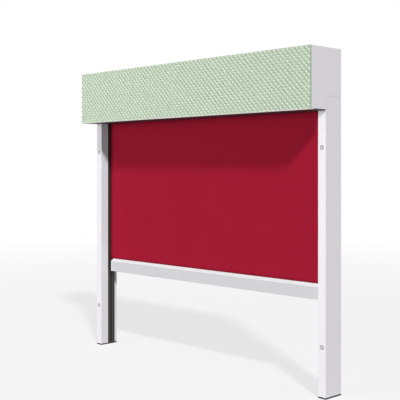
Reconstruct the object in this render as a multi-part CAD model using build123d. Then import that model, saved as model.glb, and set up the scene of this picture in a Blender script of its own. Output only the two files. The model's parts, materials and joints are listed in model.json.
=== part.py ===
from build123d import *
from math import sqrt
import os

# Vertical drop awning with zip guide rails, in a cassette that is made to be built in.
# X runs along the cassette, with the middle of the awning at 0. Y points to the back, which is at 0.
# Z points up, with 0 at half the height of the cassette. All sizes are in millimetres.

# Whole awning
WIDTH = 905.0
CASSETTE_DEPTH = 121.0
CASSETTE_HEIGHT = 152.5
RAIL_DROP = 696.0
RAIL_WIDTH = 23.0
RAIL_DEPTH = 61.0
RAIL_LAP = 35.0
SCREEN_SETBACK = 21.5
BAR_DROP = 425.5

# Clearances
FIT = 0.1
RUNNING = 0.05
LOOSE = 0.3
SEAM = 0.5

# How far a cutting shape reaches past the face that it cuts through
OVERCUT = 1.0

# Cassette
CASSETTE_WALL = 2.0
BOARD_THICKNESS = 6.0
EMBOSS_PITCH = 10.32
PITCHES_PER_MAIN_RIDGE = 4
RIDGE_WIDTH = 1.3
PIT_WALL = 3.4
PIT_DEPTH = 2.0
LIP_HEIGHT = 2.5
LIP_RETURN = 1.4
KEY_DEPTH = 8.0
END_PLATE = 3.0
FLANGE_THICKNESS = 2.0
JOINT_HEIGHT = 0.7
JOINT_DEPTH = 1.0
BACK_LIP = 4.0
TONGUE_LENGTH = 12.0
TONGUE_WIDTH = 18.0
TONGUE_THICKNESS = 3.0
GROMMET_BORE = 3.5
GROMMET_BODY = 6.0
GROMMET_FLANGE = 8.0
GROMMET_FLANGE_THICKNESS = 1.5
GROMMET_INSET = 24.5
GROMMET_SETBACK = 20.0

# Service cover
COVER_THICKNESS = 1.5
COVER_GAP_TO_LIP = 2.3
COVER_GAP_TO_BAR = 4.5
COVER_PIVOT_SETBACK = 4.8
COVER_PIVOT_HEIGHT = 4.75
COVER_PIN_RADIUS = 2.0
COVER_PIN_LENGTH = 7.0
COVER_EAR = 3.0
COVER_RIB = 5.0
PIVOT_BOSS_WALL = 2.0
PIVOT_BOSS_LENGTH = 6.0
BEARING_FLANGE_HEIGHT = 12.0
BEARING_PEG_INSET = 12.0
BEARING_PEG_HEIGHT = 8.0
BEARING_EDGE_HEIGHT = 2.4
BEARING_EDGE_SETBACK = 12.0

# Roller
ROLLER_RADIUS = 30.0
ROLLER_WALL = 1.8
ROLL_THICKNESS = 1.9
ROLLER_HEADROOM = 8.5
GROOVE_BORE = 2.2
GROOVE_WALL = 1.2
GROOVE_SLOT = 1.6
GROOVE_COVER = 0.6
ROLLER_ROD_RADIUS = 1.8
PLUG_LENGTH = 40.0
PLUG_FLANGE = 1.4
BEARING_RADIUS = 14.0
BEARING_WIDTH = 8.0
IDLER_PIN_RADIUS = 6.0
IDLER_PIN_LENGTH = 44.0
IDLER_COLLAR = 9.0
COLLAR_GAP = 1.0
CROWN_LENGTH = 12.0

# Motor
MOTOR_RADIUS = 22.5
MOTOR_LENGTH = 380.0
MOTOR_HEAD_RADIUS = 25.0
MOTOR_HEAD_LENGTH = 5.4
MOTOR_STUB = 12.0
SHAFT_RADIUS = 6.0
SHAFT_DEPTH = 8.0
DRIVE_WHEEL_LENGTH = 14.0
BRACKET_THICKNESS = 2.5
BRACKET_WIDTH = 60.0
BRACKET_HEIGHT = 70.0
BRACKET_SCREW_INSET = 7.0

# Screws
SCREW_RADIUS = 2.0
SCREW_HEAD_RADIUS = 4.0
SCREW_HEAD_HEIGHT = 2.4
SCREW_BITE = 2.0

# Guide rails
RAIL_WALL = 1.8
MOUTH_WIDTH = 27.0
GUIDE_SEAT = 2.0
GUIDE_RIB = 1.2
CAP_RADIUS = 6.2
CAP_THICKNESS = 0.8
CAP_PLUG_RADIUS = 4.8
CAP_PLUG_LENGTH = 4.0
UPPER_CAP_DROP = 89.0
LOWER_CAP_RISE = 124.5
FIXING_HOLE_RADIUS = 3.5
FOOT_THICKNESS = 4.0
FOOT_PEG = 18.0

# Zip guide in the rail
LIP_RECESS = 0.4
GUIDE_SKIN = 1.5
SLOT_WIDTH = 3.2
SLOT_FLARE = 2.0
ZIP_CHAMBER_START = 4.0
ZIP_CHAMBER_DEPTH = 7.5
ZIP_CHAMBER_WIDTH = 12.0
INLET_HEIGHT = 22.0
INLET_FLARE = 6.0
INLET_PEG = 20.0

# Screen
FABRIC_THICKNESS = 0.8
ZIP_START = 5.0
ZIP_WIDTH = 5.0
ZIP_THICKNESS = 4.6
ZIP_TOP_DROP = 14.0

# Bottom bar
BAR_HEIGHT = 38.0
BAR_DEPTH = 25.0
BAR_SLOPE_HEIGHT = 7.0
BAR_TOP_FLAT = 4.0
BAR_WALL = 1.6
BAR_GAP = 14.0
BAR_EDGE_RADIUS = 1.0
BAR_SLOT = 1.6
BAR_ROD_DROP = 10.0
BAR_CHANNEL_RADIUS = 3.0
BAR_ROD_RADIUS = 2.5
BAR_FLOOR_HEIGHT = 18.5
BAR_CAP_LENGTH = 20.0
BAR_CAP_PEG = 10.0
WEIGHT_WIDTH = 18.0
WEIGHT_HEIGHT = 14.0
WEIGHT_SETBACK = 15.0
BAR_SCREW_RADIUS = 2.8
BAR_SCREW_HEAD = 4.6
BAR_SCREW_HEAD_DEPTH = 3.0
BAR_SCREW_LENGTH = 32.0
SLIDER_RISE = 2.0
SLIDER_HEIGHT = 20.0
SLIDER_BASE_DEPTH = 6.0
SLIDER_BASE_WIDTH = 10.0
SLIDER_TONGUE = 2.4
SLIDER_HEAD_WIDTH = 9.0
SLIDER_HEAD_DEPTH = 5.0

# Places that follow from the sizes
X_OUT = WIDTH / 2
X_IN = X_OUT - RAIL_WIDTH
X_PLATE = X_OUT - END_PLATE
Y_FRONT = -CASSETTE_DEPTH
Y_BOARD_BACK = Y_FRONT + BOARD_THICKNESS
Y_INSIDE_FRONT = Y_BOARD_BACK + CASSETTE_WALL
Y_RAIL = -RAIL_DEPTH
Y_SCREEN = -SCREEN_SETBACK
Z_TOP = CASSETTE_HEIGHT / 2
Z_LOW = -CASSETTE_HEIGHT / 2
Z_CEILING = Z_TOP - CASSETTE_WALL
Z_BOARD = (Z_LOW + LIP_HEIGHT, Z_TOP)
MAIN_PITCH = PITCHES_PER_MAIN_RIDGE * EMBOSS_PITCH
Z_RAIL_TOP = Z_LOW + RAIL_LAP
Z_FOOT = Z_LOW - RAIL_DROP
Z_RAIL_END = Z_FOOT + FOOT_THICKNESS
Y_MOUTH = (Y_SCREEN - MOUTH_WIDTH / 2, Y_SCREEN + MOUTH_WIDTH / 2)
Y_WEB = Y_MOUTH[0] - GUIDE_SEAT
Y_GUIDE = (Y_WEB + LOOSE, Y_MOUTH[1] + GUIDE_SEAT / 2)
ROLL_RADIUS = ROLLER_RADIUS + FIT + ROLL_THICKNESS
Y_ROLLER = Y_SCREEN - FABRIC_THICKNESS / 2 - FIT - ROLL_RADIUS
Z_ROLLER = Z_CEILING - ROLLER_HEADROOM - ROLL_RADIUS
X_SCREEN = X_IN + ZIP_START
X_ZIP = X_SCREEN + ZIP_WIDTH
X_TUBE = X_ZIP + SEAM
X_BRACKET = X_PLATE - BRACKET_THICKNESS
BAR_TOP = Z_LOW - BAR_DROP
BAR_LOW = BAR_TOP - BAR_HEIGHT
X_BAR = X_IN - BAR_GAP
X_BAR_CUT = X_BAR - BAR_CAP_LENGTH
Z_BAR_ROD = BAR_TOP - BAR_ROD_DROP
Y_COVER = (Y_INSIDE_FRONT + LIP_RETURN + COVER_GAP_TO_LIP, Y_SCREEN - BAR_DEPTH / 2 - COVER_GAP_TO_BAR)
Y_PIVOT = Y_COVER[0] + COVER_PIVOT_SETBACK
Z_PIVOT = Z_LOW + COVER_PIVOT_HEIGHT
X_COVER = X_IN - SEAM


def span(x, y, z):
    """A box between two limits on each axis."""
    limits = (x, y, z)
    middle = [(low + high) / 2 for low, high in limits]
    return Pos(*middle) * Box(*[abs(high - low) for low, high in limits])


def rod_x(radius, x, y, z):
    """A round rod along X between two limits."""
    return Pos((x[0] + x[1]) / 2, y, z) * Rot(0, 90, 0) * Cylinder(radius, abs(x[1] - x[0]))


def rod_y(radius, x, y, z):
    """A round rod along Y between two limits."""
    return Pos(x, (y[0] + y[1]) / 2, z) * Rot(90, 0, 0) * Cylinder(radius, abs(y[1] - y[0]))


def rod_z(radius, x, y, z):
    """A round rod along Z between two limits."""
    return Pos(x, y, (z[0] + z[1]) / 2) * Cylinder(radius, abs(z[1] - z[0]))


def along_x(section, x):
    """A section drawn in Y and Z, pulled along X between two limits."""
    return Pos(x[0], 0, 0) * extrude(Plane.YZ * section, amount=x[1] - x[0])


def grown(limits, amount):
    """Two limits moved apart by an amount at each end, or together if it is negative."""
    return limits[0] - amount, limits[1] + amount


def save(name, piece):
    """One piece, or one group of like pieces, in its own file."""
    export_step(piece, f"parts/{name}.step")


def save_pair(name, piece):
    """The right-hand piece and its mirror image."""
    save(name + "_right", piece)
    save(name + "_left", mirror(piece, about=Plane.YZ))


def mirrored_group(piece):
    """A right-hand piece and its mirror image as one group."""
    return Compound(children=[*piece.solids(), *mirror(piece, about=Plane.YZ).solids()])


# Cassette profiles
def cassette_top():
    """Top wall with two keys that stand behind the front and back walls, and the cable hole."""
    wall = span((-X_PLATE, X_PLATE), (Y_BOARD_BACK, 0), (Z_CEILING, Z_TOP))
    z_key = (Z_CEILING - KEY_DEPTH, Z_CEILING)
    y_back = -CASSETTE_WALL - LOOSE
    y_front = Y_INSIDE_FRONT + LOOSE
    back_key = span((-X_PLATE, X_PLATE), (y_back - CASSETTE_WALL, y_back), z_key)
    front_key = span((-X_PLATE, X_PLATE), (y_front, y_front + CASSETTE_WALL), z_key)
    z_hole = grown((Z_CEILING, Z_TOP), OVERCUT)
    hole = rod_z(GROMMET_BODY + FIT, X_PLATE - GROMMET_INSET, -GROMMET_SETBACK, z_hole)
    return wall + back_key + front_key - hole


def cassette_back():
    """Back wall with a short lip at the bottom, cut back at both ends for the rails."""
    wall = span((-X_PLATE, X_PLATE), (-CASSETTE_WALL, 0), (Z_LOW, Z_CEILING))
    for side in (-1, 1):
        x = (side * X_COVER, side * (X_OUT + OVERCUT))
        wall -= span(x, (Y_RAIL, OVERCUT), (Z_LOW - OVERCUT, Z_RAIL_TOP + LOOSE))
    y_lip = (-CASSETTE_WALL - BACK_LIP, -CASSETTE_WALL)
    return wall + span((-X_COVER, X_COVER), y_lip, (Z_LOW, Z_LOW + CASSETTE_WALL))


def cassette_front():
    """Front wall with the lip that carries the board, which runs on in front of the end plates."""
    wall = span((-X_PLATE, X_PLATE), (Y_BOARD_BACK, Y_INSIDE_FRONT), (Z_LOW, Z_CEILING))
    z_lip = (Z_LOW, Z_LOW + LIP_HEIGHT)
    front_lip = span((-X_OUT, X_OUT), (Y_FRONT, Y_BOARD_BACK), z_lip)
    inner_lip = span((-X_PLATE, X_PLATE), (Y_INSIDE_FRONT, Y_INSIDE_FRONT + LIP_RETURN), z_lip)
    return wall + front_lip + inner_lip


def board_pit():
    """Square pit with sloping walls, stood on its corner in the front plane of the board."""
    mouth = MAIN_PITCH - RIDGE_WIDTH
    floor = mouth - 2 * PIT_WALL
    front = Plane.XZ.offset(-Y_FRONT) * Rectangle(mouth, mouth)
    bottom = Plane.XZ.offset(-Y_FRONT - PIT_DEPTH) * Rectangle(floor, floor)
    return Rot(0, 45, 0) * loft([front, bottom])


def board_pit_places():
    """Middles of the pits that reach into the board, between ridges at 45 degrees."""
    step = MAIN_PITCH / sqrt(2)
    corner = (MAIN_PITCH - RIDGE_WIDTH) / sqrt(2)
    z_middle = sum(Z_BOARD) / 2
    last_column = int((X_OUT + corner) / step)
    last_row = int((Z_BOARD[1] - z_middle + corner) / step)
    columns = range(-last_column, last_column + 1)
    rows = range(-last_row, last_row + 1)
    steps = [(column, row) for row in rows for column in columns if (row + column) % 2]
    return [(column * step, z_middle + row * step) for column, row in steps]


def render_board():
    """Front board over the whole width, with the main ridges of its embossed face."""
    board = span((-X_OUT, X_OUT), (Y_FRONT, Y_BOARD_BACK), Z_BOARD)
    pit = board_pit()
    return board - [Pos(x, 0, z) * pit for x, z in board_pit_places()]


def end_plate():
    """Right end plate: skirt in front of the rail, cut short over the bearing, and three tongues."""
    y_skirt = Y_RAIL - LOOSE
    plate = span((X_PLATE, X_OUT), (Y_BOARD_BACK, 0), (Z_RAIL_TOP, Z_TOP))
    plate += span((X_PLATE, X_OUT), (Y_BOARD_BACK, y_skirt), (Z_LOW, Z_RAIL_TOP))
    x_joint = (X_OUT - JOINT_DEPTH, X_OUT + OVERCUT)
    plate -= span(x_joint, (y_skirt, OVERCUT), (Z_RAIL_TOP - OVERCUT, Z_RAIL_TOP + JOINT_HEIGHT))
    z_edge = (Z_LOW - OVERCUT, Z_LOW + BEARING_EDGE_HEIGHT + FIT)
    plate -= span(grown((X_PLATE, X_OUT), OVERCUT), grown(y_bearing_edge(), FIT), z_edge)
    x_tongue = (X_PLATE - TONGUE_LENGTH, X_PLATE)
    y_top_tongue = Y_INSIDE_FRONT + LOOSE + CASSETTE_WALL + LOOSE
    plate += span(
        x_tongue,
        (y_top_tongue, y_top_tongue + TONGUE_WIDTH),
        (Z_CEILING - LOOSE - TONGUE_THICKNESS, Z_CEILING - LOOSE),
    )
    y_back_tongue = -CASSETTE_WALL - LOOSE
    plate += span(
        x_tongue,
        (y_back_tongue - TONGUE_THICKNESS, y_back_tongue),
        (Z_ROLLER, Z_ROLLER + TONGUE_WIDTH),
    )
    y_front_tongue = Y_INSIDE_FRONT + LOOSE
    plate += span(
        x_tongue,
        (y_front_tongue, y_front_tongue + TONGUE_THICKNESS),
        (Z_RAIL_TOP, Z_RAIL_TOP + TONGUE_WIDTH),
    )
    x_screw = (X_PLATE - OVERCUT, X_PLATE + SCREW_BITE + RUNNING)
    for place in [*bracket_screw_places(), inlet_screw_place(), *bearing_peg_places()]:
        plate -= rod_x(SCREW_RADIUS + RUNNING, x_screw, *place)
    return plate


def cable_grommet():
    """Rubber grommet where the motor cable leaves through the top."""
    x = X_PLATE - GROMMET_INSET
    grommet = rod_z(GROMMET_BODY, x, -GROMMET_SETBACK, (Z_CEILING, Z_TOP))
    z_over = (Z_TOP, Z_TOP + GROMMET_FLANGE_THICKNESS)
    z_under = (Z_CEILING - GROMMET_FLANGE_THICKNESS, Z_CEILING)
    grommet += rod_z(GROMMET_FLANGE, x, -GROMMET_SETBACK, z_over)
    grommet += rod_z(GROMMET_FLANGE, x, -GROMMET_SETBACK, z_under)
    return grommet - rod_z(GROMMET_BORE, x, -GROMMET_SETBACK, grown((z_under[0], z_over[1]), OVERCUT))


# Service cover on the underside
def service_cover():
    """Cover plate with a stiffening rib along its back edge and a pivot ear at each end."""
    plate = span((-X_COVER, X_COVER), Y_COVER, (Z_LOW, Z_LOW + COVER_THICKNESS))
    y_rib = (Y_COVER[1] - COVER_THICKNESS, Y_COVER[1])
    plate += span((-X_COVER, X_COVER), y_rib, (Z_LOW, Z_LOW + COVER_RIB))
    ear = span(
        (X_COVER - COVER_EAR, X_COVER),
        (Y_PIVOT - COVER_PIN_RADIUS - FIT, Y_PIVOT + COVER_PIN_RADIUS + FIT),
        (Z_LOW, Z_PIVOT + COVER_PIN_RADIUS + FIT),
    )
    x_hole = grown((X_COVER - COVER_EAR, X_COVER), OVERCUT)
    pin_hole = rod_x(COVER_PIN_RADIUS + RUNNING, x_hole, Y_PIVOT, Z_PIVOT)
    for one in (ear, mirror(ear, about=Plane.YZ)):
        plate += one
    for one in (pin_hole, mirror(pin_hole, about=Plane.YZ)):
        plate -= one
    return plate


def y_bearing():
    """Front and back of the bearing of the service cover."""
    return Y_INSIDE_FRONT + LIP_RETURN + LOOSE, Y_RAIL - LOOSE


def y_bearing_edge():
    """Front and back of the bearing's edge under the end plate."""
    return Y_FRONT + BEARING_EDGE_SETBACK, y_bearing()[1]


def bearing_peg_places():
    """Places of the two pegs that hold the bearing in the end plate, in Y and Z."""
    y_front, y_back = y_bearing()
    z = Z_LOW + BEARING_PEG_HEIGHT
    return [(y_front + BEARING_PEG_INSET, z), (y_back - BEARING_PEG_INSET, z)]


def cover_bearing():
    """Block in the right end plate: floor with an outer edge, boss for the cover's pin, and pegs."""
    x_floor = (X_COVER + SEAM + LOOSE, X_PLATE)
    block = span(x_floor, y_bearing(), (Z_LOW, Z_LOW + FLANGE_THICKNESS))
    x_flange = (X_PLATE - FLANGE_THICKNESS, X_PLATE)
    block += span(x_flange, y_bearing(), (Z_LOW, Z_LOW + BEARING_FLANGE_HEIGHT))
    block += span((X_PLATE, X_OUT), y_bearing_edge(), (Z_LOW, Z_LOW + BEARING_EDGE_HEIGHT))
    boss = COVER_PIN_RADIUS + PIVOT_BOSS_WALL
    x_boss = (x_floor[0] + SEAM, x_floor[0] + SEAM + PIVOT_BOSS_LENGTH)
    block += span(x_boss, (Y_PIVOT - boss, Y_PIVOT + boss), (Z_LOW, Z_PIVOT + boss))
    x_pin = grown((x_floor[0], x_boss[1]), OVERCUT)
    block -= rod_x(COVER_PIN_RADIUS + RUNNING, x_pin, Y_PIVOT, Z_PIVOT)
    for place in bearing_peg_places():
        block += rod_x(SCREW_RADIUS, (X_PLATE, X_PLATE + SCREW_BITE), *place)
    return block


def cover_pin():
    """Right pivot pin of the service cover."""
    return rod_x(COVER_PIN_RADIUS, (X_COVER - COVER_EAR, X_COVER + COVER_PIN_LENGTH), Y_PIVOT, Z_PIVOT)


# Roller and what turns with it
def at_roller(section):
    """A section that was drawn about the roller's axis, put in its place."""
    return Pos(Y_ROLLER, Z_ROLLER) * section


def groove_centre():
    """Height of the keder groove's centre above the roller's axis."""
    return ROLLER_RADIUS - GROOVE_COVER - GROOVE_BORE


def groove_shape(radius):
    """Round shape at the keder groove."""
    return Pos(0, groove_centre()) * Circle(radius)


def roller_tube():
    """Round tube with a keder groove let into its wall."""
    groove_wall = GROOVE_BORE + GROOVE_WALL
    section = Circle(ROLLER_RADIUS) - Circle(ROLLER_RADIUS - ROLLER_WALL)
    section += groove_shape(groove_wall) & Circle(ROLLER_RADIUS)
    section -= groove_shape(GROOVE_BORE)
    slot_length = GROOVE_COVER + GROOVE_BORE + OVERCUT
    section -= Pos(0, groove_centre() + slot_length / 2) * Rectangle(GROOVE_SLOT, slot_length)
    return along_x(at_roller(section), (-X_TUBE, X_TUBE))


def plug_section():
    """Round plug that fills the tube, with a notch for the keder groove."""
    section = Circle(ROLLER_RADIUS - ROLLER_WALL - FIT)
    return section - groove_shape(GROOVE_BORE + GROOVE_WALL + FIT)


def crown_ring():
    """Ring in the right end of the tube that runs on the motor's neck."""
    bore = Circle(MOTOR_RADIUS + FIT)
    ring = along_x(at_roller(plug_section() - bore), (X_TUBE - CROWN_LENGTH, X_TUBE))
    return ring + along_x(at_roller(Circle(ROLLER_RADIUS) - bore), (X_TUBE, X_TUBE + PLUG_FLANGE))


def x_motor():
    """Where the motor's tube ends: inside the roller, and at the motor head."""
    x_head = X_BRACKET - MOTOR_HEAD_LENGTH
    return x_head - MOTOR_LENGTH, x_head


def drive_wheel():
    """Wheel that takes the turn of the shaft to the tube."""
    x_end = x_motor()[0] - LOOSE
    section = plug_section() - Circle(SHAFT_RADIUS + RUNNING)
    return along_x(at_roller(section), (x_end - DRIVE_WHEEL_LENGTH, x_end))


def output_shaft():
    """Shaft of the motor's gearbox."""
    x = (x_motor()[0] - LOOSE - DRIVE_WHEEL_LENGTH, x_motor()[0] + SHAFT_DEPTH - LOOSE)
    return rod_x(SHAFT_RADIUS, x, Y_ROLLER, Z_ROLLER)


def idler_plug():
    """Plug in the left end of the tube, with the seat of the bearing."""
    plug = along_x(at_roller(plug_section()), (-X_TUBE, -X_TUBE + PLUG_LENGTH))
    plug += along_x(at_roller(Circle(ROLLER_RADIUS)), (-X_TUBE - PLUG_FLANGE, -X_TUBE))
    x_seat = (-X_TUBE - PLUG_FLANGE - OVERCUT, -X_TUBE + BEARING_WIDTH)
    x_bore = (-X_TUBE, -X_TUBE + PLUG_LENGTH + OVERCUT)
    plug -= rod_x(BEARING_RADIUS + RUNNING, x_seat, Y_ROLLER, Z_ROLLER)
    return plug - rod_x(IDLER_PIN_RADIUS + SEAM, x_bore, Y_ROLLER, Z_ROLLER)


def idler_bearing():
    """Bearing between the plug and the pin."""
    section = Circle(BEARING_RADIUS) - Circle(IDLER_PIN_RADIUS + RUNNING)
    return along_x(at_roller(section), (-X_TUBE, -X_TUBE + BEARING_WIDTH))


def roller_rod():
    """Keder rod that holds the fabric in the groove of the tube."""
    z_groove_floor = Z_ROLLER + groove_centre() - GROOVE_BORE
    z = z_groove_floor + FIT + ROLLER_ROD_RADIUS
    return rod_x(ROLLER_ROD_RADIUS, (-X_SCREEN, X_SCREEN), Y_ROLLER, z)


def fabric_roll():
    """The turns of fabric that stay on the tube."""
    section = Circle(ROLL_RADIUS) - Circle(ROLLER_RADIUS + FIT)
    return along_x(at_roller(section), (-X_ZIP, X_ZIP))


# Motor, pin and brackets, which stand still
def motor_tube():
    """Body of the tubular motor, with the bore of its output shaft."""
    x = x_motor()
    body = rod_x(MOTOR_RADIUS, x, Y_ROLLER, Z_ROLLER)
    x_bore = (x[0] - OVERCUT, x[0] + SHAFT_DEPTH)
    return body - rod_x(SHAFT_RADIUS + RUNNING, x_bore, Y_ROLLER, Z_ROLLER)


def motor_head():
    """Head of the motor with the square stub that keeps it from turning."""
    x_head = x_motor()[1]
    head = rod_x(MOTOR_HEAD_RADIUS, (x_head, X_BRACKET), Y_ROLLER, Z_ROLLER)
    y = (Y_ROLLER - MOTOR_STUB / 2, Y_ROLLER + MOTOR_STUB / 2)
    z = (Z_ROLLER - MOTOR_STUB / 2, Z_ROLLER + MOTOR_STUB / 2)
    return head + span((X_BRACKET, X_PLATE - FIT), y, z)


def idler_pin():
    """Steel pin of the idler end, with a collar that lies on its bracket."""
    x_end = -X_PLATE + FIT
    pin = rod_x(IDLER_PIN_RADIUS, (x_end, x_end + IDLER_PIN_LENGTH), Y_ROLLER, Z_ROLLER)
    x_collar = (-X_BRACKET, -X_TUBE - PLUG_FLANGE - COLLAR_GAP)
    return pin + rod_x(IDLER_COLLAR, x_collar, Y_ROLLER, Z_ROLLER)


def bracket_screw_places():
    """Places of a bracket's four screws, in Y and Z."""
    y_step = BRACKET_WIDTH / 2 - BRACKET_SCREW_INSET
    z_step = BRACKET_HEIGHT / 2 - BRACKET_SCREW_INSET
    return [(Y_ROLLER + y * y_step, Z_ROLLER + z * z_step) for y in (-1, 1) for z in (-1, 1)]


def x_through_bracket():
    """Limits of a cut through a bracket."""
    return grown((X_BRACKET, X_PLATE), OVERCUT)


def bracket_plate():
    """Right bracket plate with its screw holes, before the middle hole."""
    y = (Y_ROLLER - BRACKET_WIDTH / 2, Y_ROLLER + BRACKET_WIDTH / 2)
    z = (Z_ROLLER - BRACKET_HEIGHT / 2, Z_ROLLER + BRACKET_HEIGHT / 2)
    plate = span((X_BRACKET, X_PLATE), y, z)
    for place in bracket_screw_places():
        plate -= rod_x(SCREW_RADIUS + FIT, x_through_bracket(), *place)
    return plate


def motor_bracket():
    """Bracket with the square hole of the motor head."""
    half = MOTOR_STUB / 2 + FIT
    y = (Y_ROLLER - half, Y_ROLLER + half)
    return bracket_plate() - span(x_through_bracket(), y, (Z_ROLLER - half, Z_ROLLER + half))


def idler_bracket():
    """Left bracket with the round hole of the pin."""
    hole = rod_x(IDLER_PIN_RADIUS + FIT, x_through_bracket(), Y_ROLLER, Z_ROLLER)
    return mirror(bracket_plate() - hole, about=Plane.YZ)


def pan_screw(x_seat, y, z):
    """Pan-head screw whose head lies on a face at x_seat and whose tip is in the end plate."""
    head = rod_x(SCREW_HEAD_RADIUS, (x_seat - SCREW_HEAD_HEIGHT, x_seat), y, z)
    return head + rod_x(SCREW_RADIUS, (x_seat, X_PLATE + SCREW_BITE), y, z)


def bracket_screws():
    """Four screws in each bracket."""
    screws = [pan_screw(X_BRACKET, y, z) for y, z in bracket_screw_places()]
    return mirrored_group(Compound(children=screws))


# Guide rails
def cap_heights():
    """Heights of the two fixing places of a rail."""
    return Z_LOW - UPPER_CAP_DROP, Z_FOOT + LOWER_CAP_RISE


def rail_middle():
    """Middle of the right rail's front face, in X."""
    return X_OUT - RAIL_WIDTH / 2


def rail():
    """Right rail: front chamber, web, guide chamber with its mouth, and the fixing holes."""
    z = (Z_RAIL_END, Z_RAIL_TOP)
    z_cut = grown(z, OVERCUT)
    x_inner = (X_IN + RAIL_WALL, X_OUT - RAIL_WALL)
    body = span((X_IN, X_OUT), (Y_RAIL, 0), z)
    body -= span(x_inner, (Y_RAIL + RAIL_WALL, Y_WEB - RAIL_WALL), z_cut)
    body -= span(x_inner, (Y_WEB, -RAIL_WALL), z_cut)
    body -= span(grown((X_IN, X_IN + RAIL_WALL), OVERCUT), Y_MOUTH, z_cut)
    y_rib = (Y_GUIDE[1] + FIT, Y_GUIDE[1] + FIT + GUIDE_RIB)
    body += span((X_IN + RAIL_WALL, X_IN + RAIL_WALL + GUIDE_RIB), y_rib, z)
    body += span((x_inner[1] - GUIDE_RIB, x_inner[1]), y_rib, z)
    y_access = grown((Y_RAIL, Y_WEB), OVERCUT)
    y_back = grown((-RAIL_WALL, 0), OVERCUT)
    for height in cap_heights():
        body -= rod_y(CAP_PLUG_RADIUS + FIT, rail_middle(), y_access, height)
        body -= rod_y(FIXING_HOLE_RADIUS, rail_middle(), y_back, height)
    return body


def guide_passage(x_start, z):
    """Space of the fabric's slot and the zip's chamber, to cut from what they run through."""
    slot = span(
        grown((x_start, X_IN + ZIP_CHAMBER_START), OVERCUT),
        (Y_SCREEN - SLOT_WIDTH / 2, Y_SCREEN + SLOT_WIDTH / 2),
        z,
    )
    chamber = span(
        (X_IN + ZIP_CHAMBER_START, X_IN + ZIP_CHAMBER_START + ZIP_CHAMBER_DEPTH),
        (Y_SCREEN - ZIP_CHAMBER_WIDTH / 2, Y_SCREEN + ZIP_CHAMBER_WIDTH / 2),
        z,
    )
    return slot + chamber


def zip_guide():
    """Black guide profile in the right rail: two lips in the mouth, a slot and three chambers."""
    z = (Z_RAIL_END, Z_RAIL_TOP)
    z_cut = grown(z, OVERCUT)
    x_body = (X_IN + RAIL_WALL + FIT, X_OUT - RAIL_WALL - FIT)
    body = span(x_body, Y_GUIDE, z)
    body += span((X_IN + LIP_RECESS, x_body[0] + GUIDE_SKIN), grown(Y_MOUTH, -FIT), z)
    body -= guide_passage(X_IN, z_cut)
    flare = SLOT_WIDTH / 2 + SLOT_FLARE
    corners = [
        (X_IN, Y_SCREEN - flare),
        (X_IN + LIP_RECESS + SLOT_FLARE, Y_SCREEN),
        (X_IN, Y_SCREEN + flare),
    ]
    body -= Pos(0, 0, z_cut[0]) * extrude(Polygon(*corners, align=None), amount=z_cut[1] - z_cut[0])
    half_chamber = ZIP_CHAMBER_WIDTH / 2 + GUIDE_SKIN
    y_chamber = (Y_SCREEN - half_chamber, Y_SCREEN + half_chamber)
    x_cell = (x_body[0] + GUIDE_SKIN, x_body[1] - GUIDE_SKIN)
    body -= span(x_cell, (Y_GUIDE[0] + GUIDE_SKIN, y_chamber[0]), z_cut)
    body -= span(x_cell, (y_chamber[1], Y_GUIDE[1] - GUIDE_SKIN), z_cut)
    x_back_cell = (X_IN + ZIP_CHAMBER_START + ZIP_CHAMBER_DEPTH + GUIDE_SKIN, x_cell[1])
    return body - span(x_back_cell, grown(y_chamber, -GUIDE_SKIN), z_cut)


def front_peg(z):
    """Peg that fills the rail's front chamber between two heights."""
    x = (X_IN + RAIL_WALL + LOOSE, X_OUT - RAIL_WALL - LOOSE)
    return span(x, (Y_RAIL + RAIL_WALL + LOOSE, Y_WEB - RAIL_WALL - LOOSE), z)


def rail_foot():
    """Black plastic foot under the right rail."""
    plate = span((X_IN, X_OUT), (Y_RAIL, 0), (Z_FOOT, Z_RAIL_END))
    return plate + front_peg((Z_RAIL_END, Z_RAIL_END + FOOT_PEG))


def inlet_screw_place():
    """Place of the inlet's screw, in Y and Z."""
    return (Y_RAIL + Y_WEB) / 2, Z_RAIL_TOP + INLET_HEIGHT / 2


def rail_inlet():
    """Inlet on top of the right rail that leads the zip in, with a flared mouth."""
    z = (Z_RAIL_TOP, Z_RAIL_TOP + INLET_HEIGHT)
    x = (X_IN + SEAM, X_PLATE - FIT)
    body = span(x, (Y_RAIL + SEAM, -CASSETTE_WALL - SEAM), z)
    body += front_peg((Z_RAIL_TOP - INLET_PEG, Z_RAIL_TOP)) & span(x, (Y_RAIL, 0), (Z_FOOT, Z_TOP))
    body -= guide_passage(x[0], grown(z, OVERCUT))
    half = ZIP_CHAMBER_WIDTH / 2
    mouth = [
        (Y_SCREEN - half, z[1] - INLET_FLARE),
        (Y_SCREEN + half, z[1] - INLET_FLARE),
        (Y_SCREEN + half + INLET_FLARE / 2, z[1] + OVERCUT),
        (Y_SCREEN - half - INLET_FLARE / 2, z[1] + OVERCUT),
    ]
    x_mouth = (x[0] - OVERCUT, X_IN + ZIP_CHAMBER_START + ZIP_CHAMBER_DEPTH)
    body -= along_x(Polygon(*mouth, align=None), x_mouth)
    return body - rod_x(SCREW_RADIUS + FIT, grown(x, OVERCUT), *inlet_screw_place())


def inlet_screws():
    """One screw through each inlet into its end plate."""
    return mirrored_group(pan_screw(X_IN + SEAM, *inlet_screw_place()))


def rail_cover_caps():
    """Caps over the two screw holes in the front of each rail."""
    caps = []
    for height in cap_heights():
        disc = rod_y(CAP_RADIUS, rail_middle(), (Y_RAIL - CAP_THICKNESS, Y_RAIL), height)
        disc = fillet(disc.edges().filter_by(GeomType.CIRCLE).group_by(Axis.Y)[0], CAP_THICKNESS / 2)
        plug = rod_y(CAP_PLUG_RADIUS, rail_middle(), (Y_RAIL, Y_RAIL + CAP_PLUG_LENGTH), height)
        caps.append(disc + plug)
    return mirrored_group(Compound(children=caps))


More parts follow.
